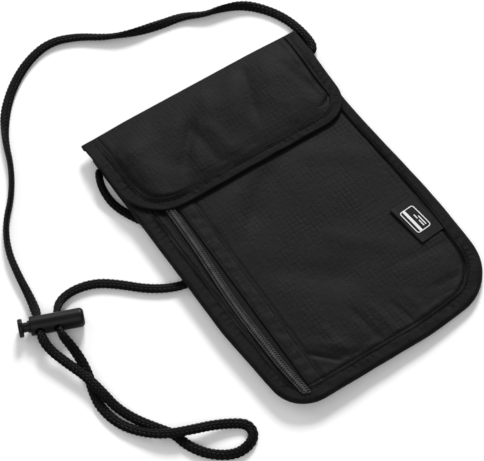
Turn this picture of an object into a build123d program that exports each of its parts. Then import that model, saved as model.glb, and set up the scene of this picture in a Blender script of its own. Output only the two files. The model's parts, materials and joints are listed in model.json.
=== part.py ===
from build123d import *
import math
import os

# A flat fabric neck pouch that lies on its back, with its cord on the surface round it.
# All sizes are in millimetres. The pouch is drawn in its own plane: x to its right, y towards
# the fold of its flap, z out of its front, with the middle of its lower layers' back at zero.
# POUCH then props it on the cord under its left edge, into the part's frame (+Z up).

# Driving dimensions
POUCH_LENGTH = 200.0
POUCH_WIDTH = 141.0
HALF_WIDTH = POUCH_WIDTH / 2
HALF_LENGTH = POUCH_LENGTH / 2
TILT = 1.8            # degrees, right edge on the surface and left edge raised
CENTRING = 0.1        # moves the propped pouch so that its box is centred on the origin
POUCH = Pos(HALF_WIDTH - CENTRING, 0, 0) * Rot(0, TILT, 0) * Pos(-HALF_WIDTH, 0, 0)

# Heights of the layers above the pouch's back plane
BINDING_TAPE = 0.5
BACK_PANEL = (0.5, 1.0)
RFID_FILM = (1.0, 1.15)
BACK_LINING = (1.15, 1.4)
POCKET_DIVIDER = (1.7, 1.95)
ZIP_TAPE = (2.75, 3.15)
FRONT_PANEL = (3.15, 3.65)
COIL = (3.15, 4.65)
BINDING_TOP = (3.65, 4.15)
TRIM = (3.65, 4.25)
LOOP_TAPE = (3.65, 4.45)
HOOK_TAPE = (4.5, 5.35)
BARTACK = (4.15, 4.45)
MOUTH_LOWER_LEG = (2.65, 3.15)

# Edges and bindings
BINDING_WEB = 0.6
BINDING_WIDTH = 8.5
TRIM_GAP = 0.1
BACK_TOP = 97.1
MOUTH_TOP = 85.0
MOUTH_HEM = 4.0
BINDING_ENDS = 88.0

# Flap: heights of its underside, and its fold
FLAP_LINING = 0.25
FLAP_SHELL = 0.5
FLAP_END = 35.8
FOLD_Y = 98.6
FOLD_Z = 1.9
FOLD_RADII = (0.9, 1.4)
UNDERSIDE = [(FOLD_Y, 2.55), (88.0, 5.05), (78.0, 5.35), (FLAP_END - 2, 5.35)]
BUMP_RISE = 1.75      # where the flap lies over the zip
BUMP_BOTTOM = (-63.5, -44.5)
BUMP_CREST = (-59.5, -46.0)
LINING_STARTS = 98.0
FLAP_BINDING_STARTS = 96.0

TOUCH_TAPE_X = (-17.0, 13.0)
TOUCH_TAPE_Y = (45.0, 63.0)

# Zip, drawn along its own centre line and then turned into its slant
ZIP_CENTRE_X = -53.94
ZIP_SLANT = -math.degrees(math.atan(0.0204))
CHAIN_ENDS = (-87.5, 76.0)
TAPE_ENDS = (-92.0, 80.0)
TOOTH_PITCH = 1.4
TOOTH_LENGTH = 0.55
COIL_HALF_WIDTH = 2.9
COIL_RAIL = 1.9
TOOTH_REACH = 0.6
TAPE_WIDTH = 12.5
TAPE_SPLIT = 0.3
STRIP_EDGE = 3.9
PLACKET_EDGE = 4.7
PLACKET_WIDTH = 9.3
SLIDER_AT = 69.5
SLIDER_LENGTH = 11.0
SLIDER_HALF_WIDTH = 3.7
SLIDER_WALL_IN = 3.0
SLIDER_TOP = (4.7, 5.4)
SLIDER_WALL_Z = (3.2, 4.7)
SLIDER_BOTTOM = (2.05, 2.65)
BAIL_TOP = 6.45
BAIL_THICK = 0.5
BAIL_HALF_LENGTH = 3.2
PULL_LENGTH = 20.0
PULL_Z = (5.45, 5.9)
PULL_LEAF_Z = (5.45, 6.2)

# Cord and its lock
CORD_RADIUS = 1.9
FLOOR = CORD_RADIUS
LOCK_LEFT_END = Vector(-150.25, 21.06, 5.1)
LOCK_TURN = -22.4     # degrees about Z, the barrel's axis from the x axis
LOCK_TILT = 15.0      # degrees that the cord holes rise towards the near side
BARREL_RADIUS = 5.1
BARREL_LENGTH = 28.6
BORE_RADIUS = 3.3
BORE_DEPTH = 24.0
HOLE_RADIUS = 2.5
HOLES_AT = (4.6, 14.6)
STEM_RADIUS = 3.2
STEM_SPAN = (-1.2, 17.5)
NECK_RADIUS = 2.6
HEAD_RADIUS = 4.9
HEAD_SPAN = (-6.2, -3.7)
PLUNGER_TRAVEL = 2.8
SLOT_HALF_HEIGHT = 2.2
SPRING_RADIUS = 2.4
SPRING_WIRE = 0.3
SPRING_TURNS = 5


def outline(points, radii):
    """A closed flat face whose corners are rounded by the radii, one for each point."""
    edge = FilletPolyline(*points, radius=radii, close=True)
    return make_face(edge)


def body_outline():
    points = [(-70.2, MOUTH_TOP + 20), (-70.2, -48), (-66.2, -HALF_LENGTH), (22, -HALF_LENGTH),
              (69.2, -95.2), (HALF_WIDTH, -32), (66.2, 44), (70.2, MOUTH_TOP + 20)]
    return outline(points, [0, 90, 20, 80, 32, 300, 200, 0])


def flap_outline():
    points = [(-HALF_WIDTH, FOLD_Y), (-HALF_WIDTH, FLAP_END), (65.8, FLAP_END), (69.5, FOLD_Y)]
    return outline(points, [0, 27, 19, 0])


def inset(face, amount):
    """The face shrunk by the amount on every side."""
    return offset(face, amount=-amount)


def slab(face, heights):
    """The face as a plate between two heights."""
    low, high = heights
    return extrude(Pos(0, 0, low) * face, amount=high - low, dir=(0, 0, 1))


def block(x_span, y_span, z_span):
    """A rectangular block between three pairs of limits."""
    size = [high - low for low, high in (x_span, y_span, z_span)]
    middle = [(high + low) / 2 for low, high in (x_span, y_span, z_span)]
    return Pos(*middle) * Box(*size)


def below(y_limit):
    """Everything on the pouch's side of a line across it."""
    return block((-100, 100), (-150, y_limit), (-5, 15))


def above(y_limit):
    return block((-100, 100), (y_limit, 150), (-5, 15))


def zip_place():
    """From the zip's own line, y along the chain and x across it, to the pouch."""
    return Pos(ZIP_CENTRE_X, 0, 0) * Rot(0, 0, ZIP_SLANT)


# Layers of the body

PANEL_FACE = inset(body_outline(), BINDING_WEB)
INNER_FACE = inset(body_outline(), BINDING_WIDTH)
TRIM_FACE = inset(body_outline(), BINDING_WIDTH + TRIM_GAP)


def back_layer(heights):
    """A full-size layer that runs up to the fold of the flap."""
    return slab(PANEL_FACE, heights) & below(BACK_TOP)


def pocket_divider():
    return slab(PANEL_FACE, POCKET_DIVIDER) & below(MOUTH_TOP)


def zip_side_strip():
    left_of_zip = zip_place() * block((-60, -STRIP_EDGE), (-150, 150), (0, 10))
    return slab(PANEL_FACE, FRONT_PANEL) & left_of_zip & below(MOUTH_TOP - BINDING_WEB)


def front_panel():
    right_of_zip = zip_place() * block((PLACKET_EDGE, 160), (-150, 150), (0, 10))
    return slab(PANEL_FACE, FRONT_PANEL) & right_of_zip & below(MOUTH_TOP - BINDING_WEB)


def body_binding():
    """Tape folded round the left, bottom and right edges of all the layers."""
    tape = slab(body_outline(), (0, BINDING_TOP[1]))
    hollow = slab(PANEL_FACE, (BINDING_TAPE, BINDING_TOP[0]))
    open_middle = slab(INNER_FACE, (-1, 10))
    return (tape - hollow - open_middle) & below(BINDING_ENDS)


def mouth_binding():
    """Tape folded round the top edge of the front layers."""
    upper = slab(TRIM_FACE, BINDING_TOP) & above(MOUTH_TOP - MOUTH_HEM) & below(MOUTH_TOP)
    web = slab(TRIM_FACE, (MOUTH_LOWER_LEG[0], BINDING_TOP[1]))
    web = web & above(MOUTH_TOP - BINDING_WEB) & below(MOUTH_TOP)
    lower = slab(TRIM_FACE, MOUTH_LOWER_LEG) & above(MOUTH_TOP - MOUTH_HEM) & below(MOUTH_TOP)
    return upper + web + lower


def loop_tape():
    return block(TOUCH_TAPE_X, TOUCH_TAPE_Y, LOOP_TAPE)


def side_label():
    """A small woven label whose right end is under the binding."""
    patch = slab(Pos(52.5, -39.5) * Rot(0, 0, 4) * Rectangle(22, 26.5), TRIM)
    return patch & slab(TRIM_FACE, TRIM) & block((44.5, 80), (-60, -20), (0, 10))


def cord_bartack(x_middle):
    """The block of close stitches that holds an end of the cord in the side seam."""
    return slab(Pos(x_middle, 83) * RectangleRounded(3, 8, 0.8), BARTACK)


# Zip

def zip_tape(side):
    edges = sorted((side * TAPE_SPLIT, side * TAPE_WIDTH))
    return (zip_place() * block(edges, TAPE_ENDS, ZIP_TAPE)) & slab(PANEL_FACE, ZIP_TAPE)


def zip_coil(side):
    """One row of coil turns with their heads reaching just past the centre line."""
    first, last = CHAIN_ENDS
    shift = 0 if side < 0 else TOOTH_PITCH / 2
    count = int((last - first - TOOTH_LENGTH) / TOOTH_PITCH)
    rail_middle = side * (COIL_HALF_WIDTH + COIL_RAIL) / 2
    rail_width = COIL_HALF_WIDTH - COIL_RAIL
    rail = Pos(rail_middle, (first + last) / 2) * Rectangle(rail_width, last - first)
    tooth = Rectangle(COIL_HALF_WIDTH + TOOTH_REACH, TOOTH_LENGTH)
    tooth_middle = side * (COIL_HALF_WIDTH - TOOTH_REACH) / 2
    first_tooth = first + shift + TOOTH_LENGTH / 2
    teeth = [Pos(tooth_middle, first_tooth + turn * TOOTH_PITCH) * tooth for turn in range(count)]
    row = rail + teeth
    return (zip_place() * slab(row, COIL)) & slab(TRIM_FACE, COIL)


def zip_placket():
    """A folded strip of the shell fabric beside the chain."""
    strip = zip_place() * block((PLACKET_EDGE, PLACKET_EDGE + PLACKET_WIDTH), (-120, 120), TRIM)
    return strip & slab(TRIM_FACE, TRIM) & below(MOUTH_TOP - MOUTH_HEM - TRIM_GAP)


def slider_place():
    return zip_place() * Pos(0, SLIDER_AT, 0)


def zip_slider():
    """Top and bottom shields round the chain, with a bail for the pull on the top one."""
    half = SLIDER_LENGTH / 2
    shoulder = SLIDER_HALF_WIDTH
    plan = outline([(-shoulder, half), (-shoulder, -half + 2), (-2.6, -half), (2.6, -half),
                    (shoulder, -half + 2), (shoulder, half)], [2.5, 2, 1, 1, 2, 2.5])
    top = slab(plan, SLIDER_TOP)
    wall_span = (-half + 2.2, half - 2.6)
    left_wall = block((-shoulder, -SLIDER_WALL_IN), wall_span, SLIDER_WALL_Z)
    right_wall = block((SLIDER_WALL_IN, shoulder), wall_span, SLIDER_WALL_Z)
    bottom = slab(plan, SLIDER_BOTTOM)
    bail = block((-0.8, 0.8), (-BAIL_HALF_LENGTH, BAIL_HALF_LENGTH), (SLIDER_TOP[1], BAIL_TOP))
    window_half = BAIL_HALF_LENGTH - 1.0
    window = block((-2, 2), (-window_half, window_half), (SLIDER_TOP[1], BAIL_TOP - BAIL_THICK))
    shields = top + left_wall + right_wall + (bail - window) + bottom
    return slider_place() * shields


def zip_pull():
    """A leaf with a ring at its head, hung from the slider's bail and pointing down the pouch."""
    ring = block((-2.4, 2.4), (-5.5, 0), PULL_Z)
    ring_hole = block((-1.2, 1.2), (-4.4, 1), (5, 7))
    bar_height = sum(PULL_Z) / 2
    bar_radius = (PULL_Z[1] - PULL_Z[0]) / 2
    bar = Pos(0, 0, bar_height) * Rot(0, 90, 0) * Cylinder(bar_radius, 4.8)
    leaf_face = outline([(-2.4, -5.2), (-3.0, -PULL_LENGTH), (3.0, -PULL_LENGTH), (2.4, -5.2)],
                        [0, 2.6, 2.6, 0])
    leaf = slab(leaf_face, PULL_LEAF_Z)
    leaf_hole = slab(Pos(0, -PULL_LENGTH + 3.2) * Circle(1.2), (5, 7))
    return slider_place() * ((ring - ring_hole) + bar + (leaf - leaf_hole))


# Flap

def under_flap(lift):
    """The space below a surface that lies the given height above the flap's underside."""
    floor = [(UNDERSIDE[-1][0], -4), (FOLD_Y, -4)]
    main = [(y, z + lift) for y, z in UNDERSIDE] + floor
    raised = [(FOLD_Y, 2.55 + lift), (84.0, 5.2 + BUMP_RISE + lift),
              (78.0, 5.35 + BUMP_RISE + lift), (UNDERSIDE[-1][0], 5.35 + BUMP_RISE + lift)] + floor
    across = Plane.YZ.offset(-90)
    space = extrude(across * make_face(Polyline(*main, close=True)), amount=180)
    ridge = extrude(across * make_face(Polyline(*raised, close=True)), amount=180)
    foot, crest = 5.35 + lift, 5.35 + BUMP_RISE + lift
    section = [(BUMP_BOTTOM[0], -4), (BUMP_BOTTOM[0], foot), (BUMP_CREST[0], crest),
               (BUMP_CREST[1], crest), (BUMP_BOTTOM[1], foot), (BUMP_BOTTOM[1], -4)]
    along = Plane.XZ.offset(-120)
    column = extrude(along * make_face(Polyline(*section, close=True)), amount=120)
    return space + (ridge & column)


def draped(face, low, high):
    """A layer of the flap between two heights above its underside, cut to a face."""
    return (under_flap(high) - under_flap(low)) & slab(face, (-3, 15))


def flap_lining():
    face = inset(flap_outline(), BINDING_WEB)
    return draped(face, 0, FLAP_LINING) & below(LINING_STARTS)


def flap_shell():
    """The outer layer of the flap, with the fold that carries it round the top of the back."""
    face = inset(flap_outline(), BINDING_WEB) + Pos(0, FOLD_Y - 2) * Rectangle(130, 4)
    sheet = draped(face, FLAP_LINING, FLAP_LINING + FLAP_SHELL) & below(FOLD_Y)
    section = Circle(FOLD_RADII[1]) - Circle(FOLD_RADII[0])
    section &= Pos(5, 0) * Rectangle(10, 10)
    fold = extrude(Plane.YZ.offset(-69.7) * Pos(FOLD_Y, FOLD_Z) * section, amount=138.4)
    return sheet + fold


def flap_binding():
    """Tape folded round the left, lower and right edges of the flap."""
    edge = flap_outline()
    layers = FLAP_LINING + FLAP_SHELL
    tape = draped(edge, -BINDING_TAPE, layers + BINDING_TAPE)
    hollow = draped(inset(edge, BINDING_WEB) + Pos(0, FOLD_Y - 2) * Rectangle(130, 4), 0, layers)
    middle = inset(edge, BINDING_WIDTH) + Pos(0, FOLD_Y - 8) * Rectangle(2 * 60, 20)
    return (tape - hollow - slab(middle, (-1, 15))) & below(FLAP_BINDING_STARTS)


def hook_tape():
    return block(TOUCH_TAPE_X, TOUCH_TAPE_Y, HOOK_TAPE)


# Cord lock, drawn along its own axis (z from its plunger end) and then laid down

def lock_place():
    """From the lock's own axis to the part's frame; its local y is the way out of the holes."""
    return (Pos(*LOCK_LEFT_END) * Rot(0, 0, LOCK_TURN) * Rot(-LOCK_TILT, 0, 0)
            * Rot(0, 90, 0))


def cross_hole(at, radius):
    return Pos(0, 0, at) * Rot(90, 0, 0) * Cylinder(radius, 20)


def lock_barrel():
    barrel = Pos(0, 0, BARREL_LENGTH / 2) * Cylinder(BARREL_RADIUS, BARREL_LENGTH)
    closed_end = barrel.edges().filter_by(GeomType.CIRCLE).sort_by(Axis.Z)[-1]
    open_end = barrel.edges().filter_by(GeomType.CIRCLE).sort_by(Axis.Z)[0]
    barrel = fillet(closed_end, 2.2)
    barrel = fillet(barrel.edges().filter_by(GeomType.CIRCLE).sort_by(Axis.Z)[0], 0.5)
    barrel -= Pos(0, 0, BORE_DEPTH / 2) * Cylinder(BORE_RADIUS, BORE_DEPTH)
    for at in HOLES_AT:
        barrel -= cross_hole(at, HOLE_RADIUS)
    return lock_place() * barrel


def plunger():
    """Head, neck and stem, with two slots that let the cord through at every position."""
    low, high = STEM_SPAN
    stem = Pos(0, 0, (low + high) / 2) * Cylinder(STEM_RADIUS, high - low)
    neck = Pos(0, 0, (HEAD_SPAN[0] + 1) / 2) * Cylinder(NECK_RADIUS, 1 - HEAD_SPAN[0])
    head = Pos(0, 0, sum(HEAD_SPAN) / 2) * Cylinder(HEAD_RADIUS, HEAD_SPAN[1] - HEAD_SPAN[0])
    head = fillet(head.edges().filter_by(GeomType.CIRCLE), 0.7)
    whole = stem + neck + head
    for at in HOLES_AT:
        slot_low = at - CORD_RADIUS - PLUNGER_TRAVEL - 0.2
        slot_high = at + CORD_RADIUS + 0.2
        whole -= block((-SLOT_HALF_HEIGHT, SLOT_HALF_HEIGHT), (-10, 10), (slot_low, slot_high))
    return lock_place() * whole


def lock_spring():
    """A coil spring between the plunger and the closed end of the bore."""
    gap = BORE_DEPTH - STEM_SPAN[1]
    height = gap - 2 * SPRING_WIRE - 0.1
    coil = Helix(pitch=height / SPRING_TURNS, height=height, radius=SPRING_RADIUS)
    section = Plane(origin=coil @ 0, z_dir=coil % 0) * Circle(SPRING_WIRE)
    wire = sweep(section, path=coil, is_frenet=True)
    return lock_place() * Pos(0, 0, STEM_SPAN[1] + SPRING_WIRE + 0.05) * wire


# Cord: one length that leaves the right seam, goes through the lock, makes the loop at the
# pouch's lower left, comes back through the lock and ends in the left seam

def hole_point(hole, distance):
    """A point on the axis of a cord hole, a distance out of the near side of the barrel."""
    spot = lock_place() * Pos(0, distance * HOLE_WAY, HOLES_AT[hole])
    return spot.position


HOLE_WAY = -1
THROUGH = 8.25        # half the straight run through the barrel

CORD_TO_LOCK = [
    (68.95, 81.6, 2.1), (72.2, 85.0, FLOOR), (73.2, 90.5, FLOOR), (73.0, 99.5, FLOOR),
    (70.8, 110.0, FLOOR), (65.5, 121.0, FLOOR), (56.5, 131.0, FLOOR), (44.0, 135.8, FLOOR),
    (34.5, 138.0, FLOOR), (24.0, 144.5, FLOOR), (10.5, 146.5, FLOOR), (-6.5, 150.0, FLOOR),
    (-19.5, 156.5, FLOOR), (-32.5, 166.5, FLOOR), (-47.5, 172.0, FLOOR),
    (-63.5, 168.0, FLOOR), (-79.0, 158.5, FLOOR), (-92.5, 145.0, FLOOR),
    (-101.5, 129.0, FLOOR), (-107.5, 112.0, FLOOR), (-117.0, 96.0, FLOOR),
    (-128.5, 83.5, FLOOR), (-136.0, 68.0, FLOOR), (-139.0, 52.0, FLOOR),
    (-140.5, 38.5, FLOOR),
]
CORD_LOOP = [
    (-149.0, 3.5, 7.1), (-145.5, -8.0, 6.3), (-141.3, -20.0, 5.95), (-139.2, -33.0, 5.95),
    (-137.8, -42.5, 3.4), (-133.0, -53.5, FLOOR), (-126.0, -64.5, FLOOR),
    (-120.8, -72.0, FLOOR), (-118.8, -81.5, FLOOR), (-112.5, -91.5, FLOOR),
    (-102.5, -98.8, FLOOR), (-93.5, -99.0, FLOOR), (-87.3, -95.0, FLOOR),
    (-87.0, -88.3, FLOOR), (-93.0, -83.7, 2.4), (-103.0, -79.3, 4.6),
    (-112.7, -76.2, 5.95), (-125.5, -70.8, 5.95), (-134.5, -62.0, 3.2),
    (-141.3, -51.5, FLOOR), (-144.0, -39.0, FLOOR), (-142.6, -29.0, FLOOR),
    (-138.9, -17.0, FLOOR), (-138.0, -7.5, 3.9), (-138.6, 0.2, 6.5),
]
CORD_TO_LEFT_SEAM = [
    (-127.2, 27.9, FLOOR), (-117.8, 28.6, FLOOR), (-107.3, 25.5, FLOOR),
    (-98.0, 18.3, FLOOR), (-87.0, 7.2, FLOOR), (-75.5, 0.0, FLOOR), (-66.3, -2.3, FLOOR),
    (-58.3, -0.6, FLOOR), (-52.8, 5.3, FLOOR), (-51.7, 13.2, FLOOR), (-55.1, 21.5, FLOOR),
    (-60.8, 33.6, FLOOR), (-68.7, 47.4, FLOOR), (-74.0, 59.2, 2.2), (-74.6, 69.0, 3.6),
    (-73.1, 77.0, 5.4), (-70.15, 82.0, 6.6),
]


def cord_points():
    lock_far_first = hole_point(0, -THROUGH)
    lock_near_first = hole_point(0, THROUGH)
    lock_near_second = hole_point(1, THROUGH)
    lock_far_second = hole_point(1, -THROUGH)
    points = [*CORD_TO_LOCK, lock_far_first, lock_near_first, *CORD_LOOP,
              lock_near_second, lock_far_second, *CORD_TO_LEFT_SEAM]
    return [Vector(*point) for point in points]


def cord_radii(points):
    """Each corner's radius: as large as its two runs allow."""
    radii = []
    for before, corner, after in zip(points, points[1:], points[2:]):
        turn = (corner - before).get_angle(after - corner)
        shorter = min((corner - before).length, (after - corner).length)
        radii.append(0.45 * shorter / math.tan(math.radians(turn / 2)))
    return radii


def neck_cord():
    points = cord_points()
    radii = cord_radii(points)
    path = FilletPolyline(*points, radius=radii)
    section = Plane(origin=path @ 0, z_dir=path % 0) * Circle(CORD_RADIUS)
    tube = sweep(section, path=path)
    print("cord length", round(path.length, 1), "radii", [round(radius, 1) for radius in radii])
    print("cord runs", [round((b - a).length, 1) for a, b in zip(points, points[1:])])
    print("cord volume", round(tube.volume, 1), "section x length",
          round(math.pi * CORD_RADIUS ** 2 * path.length, 1))
    seams = POUCH * (slab(body_outline(), (0, 12)) & above(70))
    return tube - seams


os.makedirs("parts", exist_ok=True)

IN_POUCH = {
    "back_panel": back_layer(BACK_PANEL),
    "rfid_film": back_layer(RFID_FILM),
    "back_lining": back_layer(BACK_LINING),
    "pocket_divider": pocket_divider(),
    "zip_side_strip": zip_side_strip(),
    "front_panel": front_panel(),
    "body_binding": body_binding(),
    "mouth_binding": mouth_binding(),
    "loop_tape": loop_tape(),
    "side_label": side_label(),
    "cord_bartack_left": cord_bartack(-66),
    "cord_bartack_right": cord_bartack(65),
    "zip_tape_left": zip_tape(-1),
    "zip_tape_right": zip_tape(1),
    "zip_coil_left": zip_coil(-1),
    "zip_coil_right": zip_coil(1),
    "zip_placket": zip_placket(),
    "zip_slider": zip_slider(),
    "zip_pull": zip_pull(),
    "flap_lining": flap_lining(),
    "flap_shell": flap_shell(),
    "flap_binding": flap_binding(),
    "hook_tape": hook_tape(),
}
ON_SURFACE = {
    "cord_lock_barrel": lock_barrel(),
    "cord_lock_plunger": plunger(),
    "cord_lock_spring": lock_spring(),
    "neck_cord": neck_cord(),
}

for node, shape in IN_POUCH.items():
    export_step(POUCH * shape, f"parts/{node}.step")
for node, shape in ON_SURFACE.items():
    export_step(shape, f"parts/{node}.step")
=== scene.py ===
"""A flat fabric neck pouch on a pale surface, with its braided cord and cord lock round it.

Cloth and trim are worked out in the pouch's own plane in millimetres (x to its right, y up to the
fold of its flap, z out of its front) and placed by the flap's hinge, which the frame gives.
"""

import json
import math

import bpy
import numpy as np
from mathutils import Matrix, Vector


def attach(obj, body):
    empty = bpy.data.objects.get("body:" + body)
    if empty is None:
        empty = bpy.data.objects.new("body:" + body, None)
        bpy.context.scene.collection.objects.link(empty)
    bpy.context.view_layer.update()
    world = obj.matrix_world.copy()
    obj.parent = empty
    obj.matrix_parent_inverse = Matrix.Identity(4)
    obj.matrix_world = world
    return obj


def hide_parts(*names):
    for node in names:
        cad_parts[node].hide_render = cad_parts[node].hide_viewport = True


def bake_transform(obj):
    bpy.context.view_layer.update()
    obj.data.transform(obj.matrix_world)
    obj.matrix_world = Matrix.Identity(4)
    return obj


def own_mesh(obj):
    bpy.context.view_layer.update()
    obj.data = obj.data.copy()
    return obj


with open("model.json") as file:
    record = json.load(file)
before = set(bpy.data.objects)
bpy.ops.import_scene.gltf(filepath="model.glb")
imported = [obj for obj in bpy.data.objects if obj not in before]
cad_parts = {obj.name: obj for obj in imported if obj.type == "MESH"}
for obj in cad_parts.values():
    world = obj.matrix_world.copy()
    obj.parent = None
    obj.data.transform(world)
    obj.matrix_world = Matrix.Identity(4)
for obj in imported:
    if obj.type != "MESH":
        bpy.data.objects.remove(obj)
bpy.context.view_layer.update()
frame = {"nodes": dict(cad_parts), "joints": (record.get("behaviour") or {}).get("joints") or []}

MM = 0.001

# The neck cord is a flat braid: half its width and thickness, its girth, and how its strands run
CORD_WIDE, CORD_THICK = 2.65, 1.55
CORD_GIRTH = 13.6
STRANDS = 4                               # each way round the braid
BRAID_TURN = 9.6                          # mm of cord for one turn of a strand
STRAND_ROUND, STRAND_OVER = 0.52, 0.34    # how far a strand rounds up and passes over another

# ---------------------------------------------------------------- the pouch's own plane

FOLD_Y, FOLD_Z = 98.6, 1.9
HINGE = next(joint for joint in frame["joints"] if joint["name"] == "flap_fold")
X_WAY = -Vector(HINGE["axis"])
Y_WAY = Vector((0, 1, 0))
Z_WAY = X_WAY.cross(Y_WAY)
ORIGIN = Vector(HINGE["pos_m"]) - (Y_WAY * FOLD_Y + Z_WAY * FOLD_Z) * MM
TURN = np.array([X_WAY, Y_WAY, Z_WAY])


def placed(points):
    """Points in the pouch's plane, in millimetres, moved to the part's frame in metres."""
    return np.asarray(points, float) * MM @ TURN + np.array(ORIGIN)


# Heights of the layers (mm out of the back)
BACK_PANEL_Z = (0.5, 1.0)
FILM_Z = (1.0, 1.15)
BACK_LINING_Z = (1.15, 1.4)
DIVIDER_Z = (1.7, 1.95)
ZIP_TAPE_Z = (2.75, 3.15)
FRONT_Z = (3.15, 3.65)
FRONT_TOP = FRONT_Z[1]
BODY_TOP = 4.15
MOUTH_Y = 85.0
BACK_TOP_Y = 97.1
HALF_LENGTH = 100.0
HALF_WIDTH = 70.5
FLAP_END_Y = 35.8
PANEL_TOP = 84.4      # where the front's cloths end under the mouth's binding
SEAM_IN = 2.4         # cut edges inside the bindings, from the pouch's edge
CLOTH = 0.45          # the shell cloth's thickness

BINDING_WIDTH = 8.5
BINDING_SEAM = 7.1    # the binding's row of stitches, from the edge
BINDING_DENT = 9.2    # the groove in the cloth beside the binding
FLAP_SEAMS = (5.9, 8.0)   # the rows of stitches on the flap's binding and beside it

# The zip's centre line
ZIP_X = -53.94
ZIP_SLOPE = 0.0204


def zip_centre(y):
    """The zip's middle at a height up the pouch."""
    return ZIP_X + ZIP_SLOPE * np.asarray(y, float)


def coil_centre(y):
    """The sewn coil's middle: it bows to the left half-way down and comes back below."""
    y = np.asarray(y, float)
    bow = 0.7 * smooth_step(-40, 20, y) + 1.7 * smooth_step(-68, -96, y)
    return zip_centre(y) - 1.5 * ridge_at(y, -32, 34) + bow


# ---------------------------------------------------------------- outlines

def lengths_along(line):
    """The length from a line's first point to each of its points."""
    return np.r_[0, np.cumsum(np.linalg.norm(np.diff(line, axis=0), axis=1))]


def directions(line):
    """Unit vectors along a line, point by point."""
    way = np.gradient(line, axis=0)
    return way / np.linalg.norm(way, axis=1)[:, None]


def rounded(points, radii, step=0.8):
    """A line through the points with its inner corners rounded, as points at most a step apart."""
    corners = [np.array(point, float) for point in points]
    line = [corners[0]]
    for index in range(1, len(corners) - 1):
        corner, radius = corners[index], radii[index - 1]
        back = corners[index - 1] - corner
        ahead = corners[index + 1] - corner
        back /= np.linalg.norm(back)
        ahead /= np.linalg.norm(ahead)
        half = math.acos(np.clip(back @ ahead, -1, 1)) / 2
        reach = radius / math.tan(half)
        middle = corner + (back + ahead) / np.linalg.norm(back + ahead) * radius / math.sin(half)
        start, end = corner + back * reach, corner + ahead * reach
        first = math.atan2(*(start - middle)[::-1])
        sweep = math.atan2(*(end - middle)[::-1]) - first
        sweep = (sweep + math.pi) % (2 * math.pi) - math.pi
        count = max(2, int(abs(sweep) * radius / step))
        for angle in first + sweep * np.arange(count + 1) / count:
            line.append(middle + radius * np.array([math.cos(angle), math.sin(angle)]))
    line.append(corners[-1])
    return evenly(np.array(line), step)


def evenly(line, step):
    """The same line as points an even step apart, ends kept."""
    lengths = lengths_along(line)
    count = max(2, int(round(lengths[-1] / step)))
    at = np.linspace(0, lengths[-1], count + 1)
    return np.stack([np.interp(at, lengths, line[:, axis]) for axis in range(line.shape[1])], 1)


def left_normals(line):
    """Unit normals to the left of a flat line's direction."""
    way = directions(line)
    return np.stack([-way[:, 1], way[:, 0]], 1)


def body_edge(top):
    """The pouch's outer edge from the upper left round the bottom to the upper right."""
    points = [(-70.2, top), (-70.2, -42), (-65.9, -HALF_LENGTH), (22, -HALF_LENGTH),
              (69.2, -95.2), (HALF_WIDTH, -32), (66.2, 44), (66.2 + (top - 44) * 0.0656, top)]
    return rounded(points, [90, 20, 80, 32, 300, 200])


def flap_edge(top=FOLD_Y):
    """The flap's outer edge, from the fold's left end round to its right end."""
    points = [(-HALF_WIDTH, top), (-HALF_WIDTH, FLAP_END_Y), (65.8, FLAP_END_Y), (69.5, top)]
    return rounded(points, [27, 19])


def inset(line, amount):
    """An edge line moved inwards; the inside is on the line's left."""
    return line + left_normals(line) * amount


# ---------------------------------------------------------------- meshes

def add_mesh(name, points, faces, body, material, hides=(), cloth=None, smooth=True):
    """A mesh piece. Points are in metres; cloth holds each point's or face corner's place in mm."""
    mesh = bpy.data.meshes.new(name)
    mesh.from_pydata([tuple(p) for p in points], [], [tuple(int(i) for i in f) for f in faces])
    if cloth is not None:
        layer = mesh.uv_layers.new(name="cloth")
        corners = np.empty(len(mesh.loops), int)
        mesh.loops.foreach_get("vertex_index", corners)
        flat = np.asarray(cloth, float)
        if len(flat) == len(points):
            flat = flat[corners]
        layer.data.foreach_set("uv", flat.ravel())
    if smooth:
        mesh.polygons.foreach_set("use_smooth", [True] * len(mesh.polygons))
    mesh.validate()
    piece = bpy.data.objects.new(name, mesh)
    bpy.context.scene.collection.objects.link(piece)
    mesh.materials.append(material)
    if body:
        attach(piece, body)
    if hides:
        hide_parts(*hides)
    return piece


def inside(line, points):
    """Which points lie inside a closed line."""
    x, y = points[:, 0][:, None], points[:, 1][:, None]
    x0, y0 = line[:, 0], line[:, 1]
    x1, y1 = np.roll(x0, -1), np.roll(y0, -1)
    crosses = (y0 > y) != (y1 > y)
    rise = np.where(y1 == y0, 1e-9, y1 - y0)
    return (crosses & (x < (x1 - x0) * (y - y0) / rise + x0)).sum(1) % 2 == 1


def nearest_on(line, points):
    """The nearest points of a closed line."""
    start, end = line, np.roll(line, -1, axis=0)
    way = end - start
    length2 = np.maximum((way ** 2).sum(1), 1e-12)
    part = np.clip(((points[:, None] - start) * way).sum(2) / length2, 0, 1)
    spots = start + part[..., None] * way
    best = ((spots - points[:, None]) ** 2).sum(2).argmin(1)
    return spots[np.arange(len(points)), best]


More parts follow.
